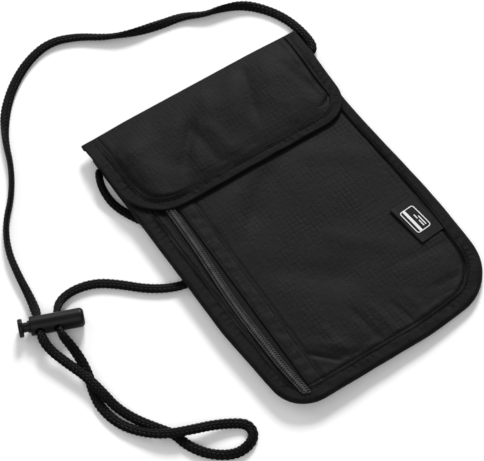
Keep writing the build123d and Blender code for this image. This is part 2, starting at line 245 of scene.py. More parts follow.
def patch_grid(line, step):
    """A grid of quads inside a closed line, with its border moved onto the line."""
    low, high = line.min(0) - step, line.max(0) + step
    xs, ys = np.arange(low[0], high[0] + step, step), np.arange(low[1], high[1] + step, step)
    grid = np.stack(np.meshgrid(xs, ys, indexing="ij"), -1)
    keep = inside(line, grid.reshape(-1, 2)).reshape(grid.shape[:2])
    cells = keep[:-1, :-1] & keep[1:, :-1] & keep[:-1, 1:] & keep[1:, 1:]
    number = np.arange(grid.shape[0] * grid.shape[1]).reshape(grid.shape[:2])
    i, j = np.nonzero(cells)
    faces = np.stack([number[i, j], number[i + 1, j], number[i + 1, j + 1], number[i, j + 1]], 1)
    used, packed = np.unique(faces, return_inverse=True)
    faces = packed.reshape(faces.shape)
    points = grid.reshape(-1, 2)[used]
    edges = np.concatenate([faces[:, [k, (k + 1) % 4]] for k in range(4)])
    order = np.sort(edges, axis=1)
    unique, where, counts = np.unique(order, axis=0, return_index=True, return_counts=True)
    rim = edges[where[counts == 1]]
    border = np.unique(rim)
    points[border] = nearest_on(line, points[border])
    return points, faces, rim


def two_layers(quads, rim, count):
    """The faces of a sheet's upper and lower layer, and of the narrow side between them."""
    sides = np.stack([rim[:, 1], rim[:, 0], rim[:, 0] + count, rim[:, 1] + count], 1)
    return np.concatenate([quads, quads[:, ::-1] + count, sides])


def cloth_patch(name, line, height, thickness, body, material, hides=(), step=1.0):
    """A sheet inside a closed line: its top at height(x, y), its underside a thickness below."""
    flat, quads, rim = patch_grid(line, step)
    top = height(flat[:, 0], flat[:, 1])
    points = np.r_[np.c_[flat, top], np.c_[flat, top - thickness]]
    faces = two_layers(quads, rim, len(flat))
    return add_mesh(name, placed(points), faces, body, material, hides, np.r_[flat, flat])


def front_patch(name, line, height, node, step, thickness=CLOTH):
    """One of the shell cloths sewn into the pouch."""
    cloth_patch(name, line, height, thickness, "pouch", SHELL, (node,), step)


def tube_faces(rings, around, closed_ends=True):
    """Quads that join rings of points into a tube."""
    i, j = np.meshgrid(np.arange(rings - 1), np.arange(around), indexing="ij")
    i, j = i.ravel(), j.ravel()
    nxt = (j + 1) % around
    faces = np.stack([i * around + j, i * around + nxt, (i + 1) * around + nxt,
                      (i + 1) * around + j], 1).tolist()
    if closed_ends:
        faces.append(list(range(around))[::-1])
        faces.append(list(range((rings - 1) * around, rings * around)))
    return faces


def smooth_step(low, high, value):
    """0 below low, 1 above high, and a smooth rise between."""
    part = np.clip((np.asarray(value, float) - low) / (high - low), 0, 1)
    return part * part * (3 - 2 * part)


def ridge_at(value, middle, width):
    """1 where a value is at the middle, and close to 0 from two widths away."""
    return np.exp(-((value - middle) / width) ** 2)


def waves(x, y, size, seed):
    """A soft uneven surface between about -1 and 1, with waves of about a size in mm."""
    total = 0
    for turn in range(6):
        angle = seed * 1.7 + turn * 2.399
        pitch = size * (0.7 + 0.13 * ((turn * 7 + seed * 3) % 6))
        along = x * math.cos(angle) + y * math.sin(angle)
        total = total + np.sin(2 * math.pi * along / pitch + seed * 5.1 + turn * 1.9)
    return total / 3.2


def crease(x, y, start, end, width, depth):
    """A groove (or, with a negative depth, a ridge) along a short straight line."""
    start, end = np.array(start, float), np.array(end, float)
    way = end - start
    length = np.linalg.norm(way)
    way /= length
    along = (x - start[0]) * way[0] + (y - start[1]) * way[1]
    across = -(x - start[0]) * way[1] + (y - start[1]) * way[0]
    beyond = np.maximum(0, np.abs(along - length / 2) - length / 2 * 0.6) / (length * 0.25)
    return -depth * np.exp(-(across / width) ** 2 - beyond ** 2)


# ---------------------------------------------------------------- materials

class Nodes:
    """Shorthand for building one material's nodes."""

    def __init__(self, name):
        self.material = bpy.data.materials.new(name)
        self.material.use_nodes = True
        self.tree = self.material.node_tree
        self.shader = self.tree.nodes["Principled BSDF"]

    def add(self, kind, **settings):
        node = self.tree.nodes.new(kind)
        for key, value in settings.items():
            setattr(node, key, value)
        return node

    def link(self, source, target):
        self.tree.links.new(source, target)

    def object_place(self):
        return self.add("ShaderNodeTexCoord").outputs["Object"]

    def math(self, operation, a, b=None, c=None):
        node = self.add("ShaderNodeMath", operation=operation)
        for slot, value in enumerate((a, b, c)):
            if value is None:
                continue
            if hasattr(value, "links"):
                self.link(value, node.inputs[slot])
            else:
                node.inputs[slot].default_value = value
        return node.outputs[0]

    def weighted(self, *parts):
        """The sum of some values, each times its weight."""
        total = 0.0
        for value, weight in parts:
            total = self.math("MULTIPLY_ADD", value, weight, total)
        return total

    def cloth(self):
        """The cloth's place in millimetres, whole and as its two coordinates."""
        place = self.add("ShaderNodeUVMap", uv_map="cloth")
        split = self.add("ShaderNodeSeparateXYZ")
        self.link(place.outputs["UV"], split.inputs[0])
        return place.outputs["UV"], split.outputs[0], split.outputs[1]

    def noise(self, vector, scale, detail=3.0, stretch=None):
        if stretch:
            turned = self.add("ShaderNodeMapping")
            turned.inputs["Scale"].default_value = stretch
            self.link(vector, turned.inputs["Vector"])
            vector = turned.outputs["Vector"]
        node = self.add("ShaderNodeTexNoise")
        node.inputs["Scale"].default_value = scale
        node.inputs["Detail"].default_value = detail
        self.link(vector, node.inputs["Vector"])
        return node.outputs["Fac"]

    def ridge(self, value, pitch, sharpness):
        """Narrow ridges every pitch along a coordinate: 1 on a line, 0 between lines."""
        turns = self.math("MULTIPLY", value, 2 * math.pi / pitch)
        wave = self.math("MULTIPLY_ADD", self.math("COSINE", turns), 0.5, 0.5)
        return self.math("POWER", wave, sharpness)

    def ramp(self, value, dark, light, low=0.3, high=0.7):
        node = self.add("ShaderNodeValToRGB")
        for stop, place, colour in zip(node.color_ramp.elements, (low, high), (dark, light)):
            stop.position = place
            stop.color = (*colour, 1)
        self.link(value, node.inputs["Fac"])
        self.link(node.outputs["Color"], self.shader.inputs["Base Color"])

    def bump(self, height, depth_mm):
        node = self.add("ShaderNodeBump")
        node.inputs["Strength"].default_value = 1.0
        node.inputs["Distance"].default_value = depth_mm * MM
        self.link(height, node.inputs["Height"])
        self.link(node.outputs["Normal"], self.shader.inputs["Normal"])

    def finish(self, roughness, sheen=0.0, specular=0.5, metallic=0.0):
        self.shader.inputs["Roughness"].default_value = roughness
        self.shader.inputs["Sheen Weight"].default_value = sheen
        self.shader.inputs["Specular IOR Level"].default_value = specular
        self.shader.inputs["Metallic"].default_value = metallic
        return self.material


def grey(value):
    return (value, value, value)


def ripstop(name, dark, light, grid=2.65, line=1.0):
    """Plain-woven nylon: slightly lighter cells between the lines of a ripstop grid, mottled."""
    n = Nodes(name)
    place, u, v = n.cloth()
    weave = n.math("MULTIPLY", n.ridge(u, 0.42, 1.0), n.ridge(v, 0.42, 1.0))
    lines = n.math("MAXIMUM", n.ridge(u, grid, 9), n.ridge(v, grid, 9))
    patches = n.noise(place, 0.045, 2.0)
    mottle = n.noise(place, 0.35, 4.0)
    speckle = n.noise(place, 1.6, 2.0)
    shown = n.math("MULTIPLY", lines, n.math("MULTIPLY_ADD", patches, 2.2, -0.72))
    tone = n.weighted((mottle, 0.5), (shown, -0.5 * line), (patches, 0.45), (speckle, 0.35))
    n.ramp(tone, dark, light, 0.25, 0.95)
    n.bump(n.weighted((weave, 0.25), (shown, -0.55 * line), (speckle, 0.7), (mottle, 1.2)), 0.16)
    return n.finish(0.5, specular=0.074)


def tape_weave(name, dark, light, pitch=0.9, depth=0.09, roughness=0.55, ribbed=1.0):
    """Narrow woven tape: fine ribs across it, with the second coordinate along its length."""
    n = Nodes(name)
    place, u, v = n.cloth()
    ribs = n.ridge(v, pitch, 1.2)
    threads = n.ridge(u, 0.5, 1.0)
    fibre = n.noise(place, 1.3, 4.0)
    rucked = n.noise(place, 0.45, 3.0, stretch=(0.7, 1.5, 1.0))
    broad = n.noise(place, 0.12, 3.0)
    tone = n.weighted((broad, 0.4), (ribs, 0.16 * ribbed), (rucked, 0.35), (fibre, 0.3))
    n.ramp(tone, dark, light, 0.35, 0.9)
    n.bump(n.weighted((threads, 0.25), (ribs, 0.6 * ribbed), (rucked, 1.6), (fibre, 0.9)), depth)
    return n.finish(roughness, specular=0.066)


def braid_cloth(name, dark, light):
    """Glossy yarn: fine filaments, with painted shade down in the gaps between the strands and a
    lighter painted tone on their raised tops.
    """
    n = Nodes(name)
    place, u, v = n.cloth()
    fibre = n.noise(place, 3.0, 3.0, stretch=(1.0, 0.35, 1.0))
    broad = n.noise(place, 0.35, 2.0)
    turn = n.math("MULTIPLY", u, STRANDS / CORD_GIRTH)
    along = n.math("MULTIPLY", v, STRANDS / BRAID_TURN)
    over = n.math("COSINE", n.math("MULTIPLY", turn, 2 * math.pi))
    strands = []
    for way in (1, -1):
        gap = n.ridge(n.math("MULTIPLY_ADD", along, -way, turn), 1.0, 1.0)
        body = n.math("SQRT", n.math("MAXIMUM", n.math("SUBTRACT", 1.0, gap), 0.0))
        strands.append(n.weighted((over, STRAND_OVER * way), (body, STRAND_ROUND)))
    # The strands' heights set the colour: painted shade in the gaps, painted highlight on the raised
    # tops.
    height = n.math("MAXIMUM", *strands)
    n.ramp(n.weighted((broad, 0.15), (fibre, 0.35), (height, 1.0)), dark, light, 0.55, 1.15)
    n.bump(fibre, 0.12)
    return n.finish(0.40, specular=0.052)


def plush(name, dark, light):
    """The furry or hooked face of touch tape."""
    n = Nodes(name)
    place, u, v = n.cloth()
    dots = n.math("MULTIPLY", n.ridge(u, 1.0, 1.5), n.ridge(v, 1.2, 1.5))
    fuzz = n.noise(place, 4.0, 5.0)
    tone = n.weighted((fuzz, 0.6), (dots, 0.4))
    n.ramp(tone, dark, light, 0.2, 0.8)
    n.bump(tone, 0.35)
    return n.finish(0.9, sheen=0.05, specular=0.1)


def moulded(name, dark, light, roughness=0.22, specular=0.3, metallic=0.0):
    """Moulded plastic or metal, with slight unevenness in its gloss."""
    n = Nodes(name)
    spot = n.object_place()
    grain = n.noise(spot, 2600.0, 2.0)
    n.ramp(n.noise(spot, 260.0, 3.0), dark, light)
    n.link(n.math("MULTIPLY_ADD", grain, 0.12, roughness), n.shader.inputs["Roughness"])
    n.bump(grain, 0.006)
    return n.finish(roughness, specular=specular, metallic=metallic)


SHELL = ripstop("ripstop_shell", grey(0.0009), grey(0.0094))
# The flap is the same ripstop as the front; its darker colours here are painted shade.
FLAP_SHELL_SHADED = ripstop("ripstop_flap_painted_shade", grey(0.0004), grey(0.0042))
LINING = ripstop("plain_lining", grey(0.007), grey(0.016), line=0.15)
BINDING = tape_weave("binding_tape", grey(0.0004), grey(0.0108), depth=0.18, ribbed=0.45)
ZIP_CLOTH = tape_weave("zip_tape", grey(0.0015), grey(0.006), pitch=1.1)
TOUCH = plush("touch_tape", grey(0.004), grey(0.016))
LABEL = tape_weave("label_weave", grey(0.004), grey(0.013), pitch=0.35, depth=0.04)
PRINT = tape_weave("label_print", grey(0.62), grey(0.75), pitch=0.35, depth=0.03)
ZIP_THREAD = tape_weave("zip_thread", grey(0.002), grey(0.014), pitch=0.7, depth=0.05)
THREAD = tape_weave("thread", grey(0.002), grey(0.012), pitch=0.7, depth=0.05, roughness=0.5)
CORD = braid_cloth("cord_braid", grey(0.0001), grey(0.0048))
COIL = moulded("nylon_coil", grey(0.05), grey(0.10), roughness=0.3)
METAL = moulded("painted_zinc", grey(0.008), grey(0.014), roughness=0.35)
LOCK = moulded("lock_plastic", grey(0.003), grey(0.006), roughness=0.34, specular=0.14)
SPRING = moulded("spring_wire", grey(0.45), grey(0.6), roughness=0.3, metallic=1.0)
FILM = moulded("shielding_film", grey(0.14), grey(0.2), roughness=0.3)

# ---------------------------------------------------------------- camera, light and floor

CAMERA_AT = Vector((-361.67, -547.45, 1100.26)) * MM
CAMERA_RIGHT = Vector((0.83217, -0.55390, -0.02615))
CAMERA_BACK = Vector((-0.26297, -0.43571, 0.86082))
CAMERA_LENS = 178.03


def add_camera():
    data = bpy.data.cameras.new("camera")
    data.lens = CAMERA_LENS
    data.sensor_width = 36.0
    data.sensor_fit = "HORIZONTAL"
    data.clip_start, data.clip_end = 0.05, 20.0
    camera = bpy.data.objects.new("camera", data)
    bpy.context.scene.collection.objects.link(camera)
    up = CAMERA_BACK.cross(CAMERA_RIGHT)
    turn = Matrix((CAMERA_RIGHT, up, CAMERA_BACK)).transposed()
    camera.matrix_world = Matrix.Translation(CAMERA_AT) @ turn.to_4x4()
    bpy.context.scene.camera = camera


def add_light(name, place, size, power, target=(-0.03, 0.03, 0)):
    data = bpy.data.lights.new(name, "AREA")
    data.shape = "RECTANGLE"
    data.size, data.size_y = size
    data.energy = power
    light = bpy.data.objects.new(name, data)
    bpy.context.scene.collection.objects.link(light)
    light.location = place
    way = Vector(target) - Vector(place)
    light.rotation_mode = "QUATERNION"
    light.rotation_quaternion = way.to_track_quat("-Z", "Y")


def add_surroundings():
    world = bpy.data.worlds.new("studio")
    world.use_nodes = True
    world.node_tree.nodes["Background"].inputs["Color"].default_value = (1, 1, 1, 1)
    world.node_tree.nodes["Background"].inputs["Strength"].default_value = 0.38
    bpy.context.scene.world = world
    bpy.context.scene.view_settings.view_transform = "Standard"
    bpy.ops.mesh.primitive_plane_add(size=8, location=(0, 0, -0.0002))
    floor = bpy.context.object
    floor.name = "floor"
    paper = Nodes("pale_floor")
    paper.ramp(paper.noise(paper.object_place(), 3.0), grey(0.91), grey(0.94))
    floor.data.materials.append(paper.finish(0.9, specular=0.1))
    add_light("key", (1.45, 1.85, 1.55), (0.8, 0.8), 82)
    add_light("fill", (-0.7, -1.1, 1.5), (1.3, 1.3), 12)
    add_light("rim", (-0.7, 1.3, 0.6), (1.0, 0.4), 6, target=(0, 0, 0))


add_camera()
add_surroundings()

# ---------------------------------------------------------------- cord

FLOOR = 1.9           # the cord's route is this far above the surface where it lies on it

# The cord lock: its axis, and the two holes across it, which rise towards its near side
LOCK_LEFT_END = np.array((-150.25, 21.06, 5.1))
LOCK_TURN = math.radians(-22.4)
LOCK_TILT = math.radians(15.0)
LOCK_WAY = np.array((math.cos(LOCK_TURN), math.sin(LOCK_TURN), 0))
HOLES_AT = (4.6, 14.6)
NEAR_WAY = np.array((math.sin(LOCK_TURN) * math.cos(LOCK_TILT),
                     -math.cos(LOCK_TURN) * math.cos(LOCK_TILT), math.sin(LOCK_TILT)))
THROUGH = 8.25        # from the lock's axis to the cord's route points at both its sides


def hole_point(hole, distance):
    """A point on a cord hole's axis, a distance towards the lock's near side."""
    return tuple(LOCK_LEFT_END + LOCK_WAY * HOLES_AT[hole] + NEAR_WAY * distance)


CORD_ROUTE = [
    (68.95, 81.6, 2.1), (72.2, 85.0, FLOOR), (73.2, 90.5, FLOOR), (73.0, 99.5, FLOOR),
    (70.8, 110.0, FLOOR), (65.5, 121.0, FLOOR), (56.5, 131.0, FLOOR), (44.0, 135.8, FLOOR),
    (34.5, 138.0, FLOOR), (24.0, 144.5, FLOOR), (10.5, 146.5, FLOOR), (-6.5, 150.0, FLOOR),
    (-19.5, 156.5, FLOOR), (-32.5, 166.5, FLOOR), (-47.5, 172.0, FLOOR),
    (-63.5, 168.0, FLOOR), (-79.0, 158.5, FLOOR), (-92.5, 145.0, FLOOR),
    (-101.5, 129.0, FLOOR), (-107.5, 112.0, FLOOR), (-117.0, 96.0, FLOOR),
    (-128.5, 83.5, FLOOR), (-136.0, 68.0, FLOOR), (-139.0, 52.0, FLOOR),
    (-140.5, 38.5, FLOOR), hole_point(0, -THROUGH), hole_point(0, THROUGH),
    (-149.0, 3.5, 7.1), (-145.5, -8.0, 6.3), (-141.3, -20.0, 5.95), (-139.2, -33.0, 5.95),
    (-137.8, -42.5, 3.4), (-133.0, -53.5, FLOOR), (-126.0, -64.5, FLOOR),
    (-120.8, -72.0, FLOOR), (-118.8, -81.5, FLOOR), (-112.5, -91.5, FLOOR),
    (-102.5, -98.8, FLOOR), (-93.5, -99.0, FLOOR), (-87.3, -95.0, FLOOR),
    (-87.0, -88.3, FLOOR), (-93.0, -83.7, 2.4), (-103.0, -79.3, 4.6),
    (-112.7, -76.2, 5.95), (-125.5, -70.8, 5.95), (-134.5, -62.0, 3.2),
    (-141.3, -51.5, FLOOR), (-144.0, -39.0, FLOOR), (-142.6, -29.0, FLOOR),
    (-138.9, -17.0, FLOOR), (-138.0, -7.5, 3.9), (-138.6, 0.2, 6.5),
    hole_point(1, THROUGH), hole_point(1, -THROUGH),
    (-127.2, 27.9, FLOOR), (-117.8, 28.6, FLOOR), (-107.3, 25.5, FLOOR),
    (-98.0, 18.3, FLOOR), (-87.0, 7.2, FLOOR), (-75.5, 0.0, FLOOR), (-66.3, -2.3, FLOOR),
    (-58.3, -0.6, FLOOR), (-52.8, 5.3, FLOOR), (-51.7, 13.2, FLOOR), (-55.1, 21.5, FLOOR),
    (-60.8, 33.6, FLOOR), (-68.7, 47.4, FLOOR), (-74.0, 59.2, 2.2), (-74.6, 69.0, 3.6),
    (-73.1, 77.0, 5.4), (-70.15, 82.0, 6.6),
]
# Where the flat braid is rolled: route point and degrees, 0 flat and 90 on its edge
CORD_ROLL = [
    (0, 20), (3, 0), (5, 12), (6, 45), (7, 88), (8, 135), (9, 175), (10, 205), (11, 262),
    (12, 325), (13, 352), (14, 360), (17, 372), (18, 425), (19, 445), (21, 448), (23, 405),
    (25, 372), (27, 365), (29, 362), (33, 360), (36, 352), (38, 338), (39, 345), (40, 372),
    (43, 362), (46, 352), (48, 366), (50, 380), (52, 410), (53, 410), (54, 372), (56, 358),
    (59, 365), (66, 358), (68, 330), (70, 300),
]
IN_HOLE = (2.1, 1.7)  # the braid's half width and half thickness where it runs through the lock
CORE_IN = 0.74        # how far the braid's core is inside its half width
BRAID_RELIEF = 2 * math.pi * CORD_WIDE * 0.82 / STRANDS / 3.2


def smooth_line(points):
    """Points along the smooth curve that has the given route points as its control points."""
    data = bpy.data.curves.new("cord_route", "CURVE")
    data.dimensions = "3D"
    data.resolution_u = 16
    spline = data.splines.new("NURBS")
    spline.points.add(len(points) - 1)
    for control, point in zip(spline.points, points):
        control.co = (*(Vector(point) * MM), 1)
    spline.order_u = 3
    spline.use_endpoint_u = True
    holder = bpy.data.objects.new("cord_route", data)
    bpy.context.scene.collection.objects.link(holder)
    bpy.context.view_layer.update()
    mesh = bpy.data.meshes.new_from_object(holder.evaluated_get(
        bpy.context.evaluated_depsgraph_get()))
    line = np.array([vertex.co for vertex in mesh.vertices]) / MM
    bpy.data.objects.remove(holder)
    bpy.data.meshes.remove(mesh)
    bpy.data.curves.remove(data)
    return line


def cord_line(step=0.36):
    """The cord's centre line, its roll in radians and its section's half sizes, point by point."""
    line = evenly(smooth_line(CORD_ROUTE), step)
    marks, angles = [], []
    for index, degrees in CORD_ROLL:
        gap = np.linalg.norm(line - np.array(CORD_ROUTE[index]), axis=1)
        marks.append(int(gap.argmin()))
        angles.append(math.radians(degrees))
    order = np.arange(len(line))
    roll = np.interp(order, marks, angles)
    reach = int(4 / step)
    kernel = np.hanning(2 * reach + 1)
    roll = np.convolve(np.pad(roll, reach, "edge"), kernel / kernel.sum(), "valid")
    holes = np.array([hole_point(0, 0), hole_point(1, 0)])
    off_lock = np.linalg.norm(line[:, None] - holes, axis=2).min(1)
    free = smooth_step(6, 20, off_lock)
    wide, thick = (held + (usual - held) * smooth_step(5, 11, off_lock)
                   for held, usual in zip(IN_HOLE, (CORD_WIDE, CORD_THICK)))
    half_height = np.hypot(wide * np.sin(roll), thick * np.cos(roll))
    # The limp braid lies on its own half height, and hangs a little lower than the route's bridges
    lifted = (line[:, 2] - FLOOR) * 0.78 + half_height
    line[:, 2] += (lifted - line[:, 2]) * free
    return line, roll, wide, thick


def braid_height(turn, along):
    """How far the braid's surface stands out, from the part of a turn and the mm along."""
    half_strand = 0.49
    heights = []
    for way in (1, -1):
        place = STRANDS * (turn - way * along / BRAID_TURN)
        off = np.abs((place % 1) - 0.5) / half_strand
        body = np.sqrt(np.maximum(0, 1 - off ** 2))
        rise = way * np.cos(2 * math.pi * STRANDS * turn)
        heights.append(STRAND_ROUND * body + STRAND_OVER * rise)
    return np.maximum(*heights) * BRAID_RELIEF


SPRING_AT = (17.85, 23.65)     # where the spring's first and last turn are along the lock
SPRING_SIZE = (2.4, 0.3)       # its radius and its wire's
SPRING_TURNS = 5


def lock_spring():
    """The cord lock's spring, built as a fixed coil; this piece is not made to shorten as its plunger
    is pressed in.
    """
    low, high = SPRING_AT
    size, wire = SPRING_SIZE
    part = np.linspace(0, 1, 220)[:, None]
    turn = 2 * math.pi * SPRING_TURNS * part
    outward = np.cos(turn) * (-LOCK_WAY[1], LOCK_WAY[0], 0) + np.sin(turn) * (0, 0, 1)
    middle = LOCK_LEFT_END + LOCK_WAY * (low + (high - low) * part) + size * outward
    beside = np.cross(outward, directions(middle))
    angle = 2 * math.pi * np.arange(10)[:, None] / 10
    ring = np.cos(angle) * outward[:, None] + np.sin(angle) * beside[:, None]
    points = (middle[:, None] + wire * ring).reshape(-1, 3) * MM
    faces = tube_faces(len(middle), 10)
    piece = add_mesh("cord_lock_spring_wire", points, faces, "pouch", SPRING,
                     hides=("cord_lock_spring",))
    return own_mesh(piece)


def cord_corners(faces, around, along):
    """Each face corner's place on the braid: mm round its girth and mm along it."""
    corners = []
    for face in faces:
        rows = [index // around for index in face]
        columns = [index % around for index in face]
        wrapped = len(face) == 4 and max(columns) - min(columns) > 1
        for row, column in zip(rows, columns):
            column = around if wrapped and column == 0 else column
            corners.append((column / around * CORD_GIRTH, along[row]))
    return corners


def neck_cord():
    """The braid as one closed skin that follows the cord's centre line."""
    line, roll, wide, thick = cord_line()
    around = 40
    way = directions(line)
    side = np.cross(way, (0, 0, 1))
    side /= np.linalg.norm(side, axis=1)[:, None]
    top = np.cross(side, way)
    fine = np.linspace(0, 2 * math.pi, 721)
    oval = np.c_[CORD_WIDE * np.cos(fine), CORD_THICK * np.sin(fine)]
    girth = lengths_along(oval)
    turn = np.arange(around) / around
    angle = np.interp(turn * girth[-1], girth, fine)
    along = lengths_along(line)
    stand = braid_height(turn[None, :], along[:, None])
    across = (wide[:, None] - CORE_IN) * np.cos(angle)
    up = (thick[:, None] - CORE_IN) * np.sin(angle)
    out_x, out_y = np.cos(angle) / CORD_WIDE, np.sin(angle) / CORD_THICK
    size = np.hypot(out_x, out_y)
    across = across + stand * out_x / size
    up = up + stand * out_y / size
    to_end = np.minimum(along, along[-1] - along)[:, None]
    sealed = 0.40 + 0.60 * np.sqrt(smooth_step(-0.4, 2.6, to_end))
    across, up = across * sealed, up * sealed
    turn_x = across * np.cos(roll)[:, None] - up * np.sin(roll)[:, None]
    turn_y = across * np.sin(roll)[:, None] + up * np.cos(roll)[:, None]
    skin = line[:, None] + side[:, None] * turn_x[..., None] + top[:, None] * turn_y[..., None]
    points = skin.reshape(-1, 3) * MM
    faces = tube_faces(len(line), around)
    piece = add_mesh("neck_cord_braid", points, faces, "pouch", CORD,
                     hides=("neck_cord",), cloth=cord_corners(faces, around, along))
    lock_pieces = [frame["nodes"][n] for n in ("cord_lock_barrel", "cord_lock_plunger")]
    lock_pieces.append(lock_spring())


neck_cord()

# ---------------------------------------------------------------- the pouch's layers

BODY_LINE = body_edge(MOUTH_Y + 3)
POUCH_EDGE = body_edge(BACK_TOP_Y + 12)


def closed(line, top):
    """An edge line whose two ends are carried straight up to a height and joined there."""
    return np.r_[[[line[0, 0], top]], line, [[line[-1, 0], top]]]


def edge_distance(x, y, line=POUCH_EDGE):
    """How far points are from an open line; the pouch's own edge is the usual one."""
    start, way = line[:-1], np.diff(line, axis=0)
    points = np.stack([np.ravel(x), np.ravel(y)], 1)
    best = np.empty(len(points))
    batch = 4000
    for first in range(0, len(points), batch):
        some = points[first:first + batch, None]
        part = np.clip(((some - start) * way).sum(2) / (way ** 2).sum(1), 0, 1)
        gap = some - start - part[..., None] * way
        best[first:first + batch] = np.sqrt((gap ** 2).sum(2)).min(1)
    return best.reshape(np.shape(x))


# Valleys (and, with a negative depth, ridges) in the front cloth: ends, half width and depth
FRONT_CREASES = [
    ((-40.5, -75), (-29, -87), 1.3, 0.80), ((-30, -76), (-20, -86), 3.0, -0.25),
    ((-37, -70), (-24, -80), 3.2, -0.30), ((-31, -83), (-16, -90), 2.4, 0.30),
    ((-22, 7), (7, 32), 5.5, 0.85), ((-41, 14), (-14, 30), 6.0, -0.55),
    ((-34, -2), (-12, 14), 4.0, 0.30), ((26, 30), (58, 6), 7.0, -0.35),
    ((-30, -22), (4, -50), 8.0, 0.55), ((6, -20), (34, -46), 6.0, -0.35),
    ((-7, -66), (-4, -89), 2.4, 0.55), ((3, -68), (5, -89), 2.8, -0.40),
    ((13, -74), (16, -90), 2.0, 0.45), ((22, -72), (24, -90), 3.0, -0.30),
    ((-26, -66), (-22, -88), 3.2, -0.35), ((34, -78), (56, -80), 2.6, 0.30),
    ((30, -56), (56, -60), 3.5, 0.30),
]


def slimness(x, y):
    """The part of its full width that the body's binding takes: less at right and low left."""
    low_left = (1 - smooth_step(-60, -50, x)) * smooth_step(-50, -66, y)
    return 1 - 0.30 * smooth_step(50, 60, x) * smooth_step(-88, 20, y) - 0.09 * low_left


def front_height(x, y):
    """The top of the front cloth: pulled down beside its binding, softly uneven inside it."""
    edge = edge_distance(x, y) / slimness(x, y)
    along_zip = x - zip_centre(y)
    calm = smooth_step(9, 22, edge) * smooth_step(15, 26, along_zip)
    shown = 1 - smooth_step(26, 40, y)
    height = FRONT_TOP + calm * shown * (0.22 + 0.30 * waves(x, y, 74, 2))
    height += 0.10 * calm * shown * waves(x, y, 26, 5)
    height -= (0.5 + 0.4 * smooth_step(40, 60, x)) * ridge_at(edge, 9.1, 0.75)
    height += 0.16 * ridge_at(edge, 11.6, 1.3) * (1 + waves(x, y, 11, 4)) * shown
    for start, end, width, depth in FRONT_CREASES:
        height += crease(x, y, start, end, width, depth) * shown
    height -= 0.42 * ridge_at(along_zip, 14.5, 0.6)
    return height


def beside_zip(offset, ys):
    """A line down the zip at a distance to its right (or, if negative, to its left)."""
    return np.stack([zip_centre(ys) + offset, ys], 1)


def front_panel():
    zip_side = beside_zip(13.0, np.arange(PANEL_TOP, -91.5, -2.0))
    outer = inset(BODY_LINE, SEAM_IN)
    outer = outer[(outer[:, 0] > zip_centre(outer[:, 1]) + 13.5) & (outer[:, 1] < PANEL_TOP)]
    line = np.r_[zip_side, outer, [[outer[-1, 0], PANEL_TOP]]]
    front_patch("front_panel_cloth", line, front_height, "front_panel", 0.7)


def hem_height(x, y):
    """The zip's hem: a folded edge along the zip, sewn down, with small puckers across it."""
    along = x - zip_centre(y)
    edge = edge_distance(x, y)
    height = FRONT_TOP + 0.42
    height -= 0.45 * np.exp(-np.maximum(0, along - 4.7) / 0.45)
    height -= 0.16 * ridge_at(along, 6.1, 0.45)
    height -= 0.20 * ridge_at(along, 12.6, 0.45)
    height += 0.10 * ridge_at(along, 13.5, 0.3)
    height -= 0.30 * smooth_step(13.7, 14.0, along)
    pucker = waves(x * 0.6, y, 6.5, 3) + 0.8 * waves(x * 0.5, y, 13, 7)
    height += 0.15 * pucker * smooth_step(5.5, 8.5, along) * (1 - smooth_step(11, 13.4, along))
    height -= 0.40 * ridge_at(edge, 9.3, 0.8) + 0.5 * (1 - smooth_step(4, 8, edge))
    return height


def strip_between(low_offset, high_offset, top):
    """The outline between two lines beside the zip, closed by the pouch's own edge."""
    ys = np.arange(top, -99.0, -1.5)
    whole = closed(inset(BODY_LINE, SEAM_IN), top)
    sides = (beside_zip(offset, ys) for offset in (low_offset, high_offset))
    left, right = (side[inside(whole, side)] for side in sides)
    return np.r_[left, right[::-1]]


def zip_hem():
    line = strip_between(4.7, 14.0, PANEL_TOP)
    front_patch("zip_hem_cloth", line, hem_height, "zip_placket", 0.45, thickness=0.75)


def side_strip_height(x, y):
    """The narrow cloth strip between the left binding and the zip."""
    along = zip_centre(y) - x
    edge = edge_distance(x, y)
    height = FRONT_TOP + 0.05 * waves(x, y, 17, 3)
    height -= 0.40 * np.exp(-np.maximum(0, along - 3.9) / 0.4)
    height -= 0.38 * ridge_at(edge, BINDING_DENT, 0.7)
    height -= 0.14 * ridge_at(along, 5.2, 0.4)
    for pucker in ((28, 3.0), (8, 2.0), (0.5, 3.5), (-21, 3.2), (-34, 2.0), (-58, 2.4)):
        height -= 0.55 * ridge_at(y, *pucker) * ridge_at(edge, BINDING_DENT, 0.9)
    return height


def side_strip():
    outer = inset(BODY_LINE, SEAM_IN)
    outer = outer[(outer[:, 0] < zip_centre(outer[:, 1]) - 4.2) & (outer[:, 1] < PANEL_TOP)]
    ys = np.append(np.arange(outer[-1, 1] + 0.3, PANEL_TOP, 1.5), PANEL_TOP)
    line = np.r_[[[outer[0, 0], PANEL_TOP]], outer, beside_zip(-3.9, ys)]
    front_patch("zip_side_cloth", line, side_strip_height, "zip_side_strip", 0.45)


def inner_layers():
    """The back's lining and the pocket's divider, seen in the open mouth."""
    for name, (low, high), top, node in (
            ("back_lining_cloth", BACK_LINING_Z, BACK_TOP_Y + 0.3, "back_lining"),
            ("pocket_divider_cloth", DIVIDER_Z, MOUTH_Y - 3, "pocket_divider")):
        line = closed(inset(body_edge(min(top, MOUTH_Y + 3)), SEAM_IN), top)

        def height(x, y, high=high, seed=len(name)):
            room = smooth_step(4, 14, edge_distance(x, y)) * smooth_step(60, 80, y)
            return high + 0.12 * room * waves(x, y, 31, seed)

        cloth_patch(name, line, height, high - low, "pouch", LINING, (node,),
                    1.6)


def shielding_film():
    """The metallised film between the back's two cloths, well inside their seams."""
    line = closed(inset(BODY_LINE, 5.0), BACK_TOP_Y - 4)
    cloth_patch("rfid_film_sheet", line, lambda x, y: np.full_like(x, FILM_Z[1]),
                FILM_Z[1] - FILM_Z[0], "pouch", FILM, ("rfid_film",), 6.0)


